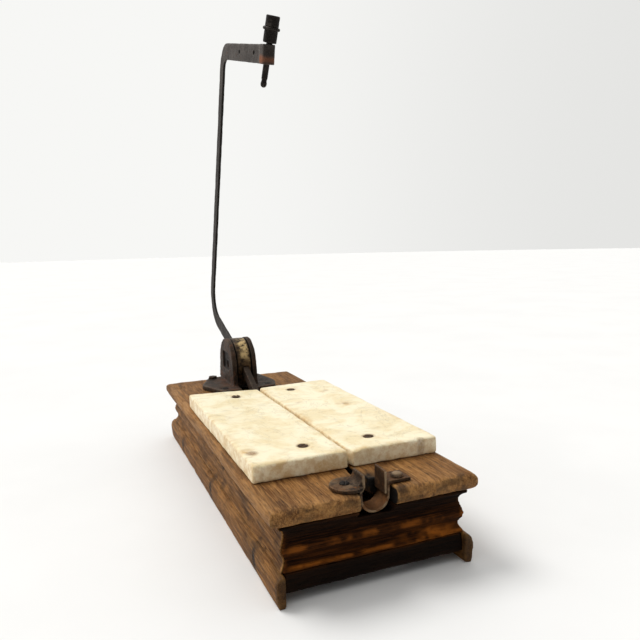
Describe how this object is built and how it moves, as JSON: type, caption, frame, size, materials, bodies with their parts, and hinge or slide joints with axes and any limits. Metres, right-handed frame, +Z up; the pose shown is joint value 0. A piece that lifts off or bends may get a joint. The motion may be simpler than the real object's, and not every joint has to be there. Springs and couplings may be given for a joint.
{
  "type": "cheese wire cutter",
  "caption": "Cheese wire cutter: wooden base with marble slabs, a hinged bow arm on a cast bracket and a wire tensioner at its tip.",
  "frame": {"origin": "centre of the overall box at table level, with the arm raised", "axes": "+Z up from the table, +Y towards the hinge at the back, +X to the right seen from the front"},
  "size_m": [0.207, 0.6332, 0.5928],
  "materials": {
    "top_wood": "worn, waxed",
    "dark_wood": "dark stained, worn",
    "marble": "honed, stained",
    "cast_iron": "rusted",
    "forged_iron": "forge scale, rusted",
    "brass": "tarnished",
    "steel": "blackened"
  },
  "bodies": {
    "base": {"top_board": "top_wood", "left_moulding": "dark_wood", "right_moulding": "dark_wood", "front_moulding": "dark_wood", "rear_moulding": "dark_wood", "left_runner": "dark_wood", "right_runner": "dark_wood", "front_plinth": "dark_wood", "rear_plinth": "dark_wood", "corner_block_front_left": "dark_wood", "corner_block_front_right": "dark_wood", "corner_block_rear_left": "dark_wood", "corner_block_rear_right": "dark_wood", "marble_slab_left": "marble", "marble_slab_right": "marble", "slab_screw_front_left": "steel", "slab_screw_rear_left": "steel", "slab_screw_front_right": "steel", "slab_screw_rear_right": "steel", "left_runner_nail_1": "steel", "left_runner_nail_2": "steel", "left_runner_nail_3": "steel", "right_runner_nail_1": "steel", "right_runner_nail_2": "steel", "right_runner_nail_3": "steel", "pivot_bracket": "cast_iron", "front_keeper": "cast_iron", "keeper_guide_plate": "cast_iron", "bracket_bolt": "steel", "bracket_screw_front_left": "steel", "bracket_screw_front_right": "steel", "bracket_screw_rear_right": "steel", "axle_pin": "steel", "keeper_screw_left": "steel", "keeper_rivet_right": "steel"},
    "arm": {"bow_arm": "forged_iron", "hub": "brass", "hub_rivet_inner": "steel", "hub_rivet_outer": "steel", "tail_rivet": "steel", "wire_anchor": "forged_iron"},
    "barrel": {"tensioner_barrel": "steel", "tensioner_ring": "steel"},
    "pin": {"wire_pin": "steel"}
  },
  "joints": [
    {"name": "arm_pivot", "type": "hinge", "parent": "base", "child": "arm", "pos_m": [0, 0.15592, 0.12], "axis": [1, 0, 0], "range_deg": [0, 68.5]},
    {"name": "barrel_turn", "type": "hinge", "parent": "arm", "child": "barrel", "pos_m": [0.002, -0.03508, 0.5288], "axis": [0.075, -0.3638, 0.9284], "range_deg": [-720, 720]},
    {"name": "pin_travel", "type": "slide", "parent": "arm", "child": "pin", "axis": [0.075, -0.3638, 0.9284], "range_m": [-0.003, 0.003]}
  ],
  "couplings": [
    {"joint": "pin_travel", "follows": "barrel_turn", "m_per_rad": 0.00023873}
  ]
}
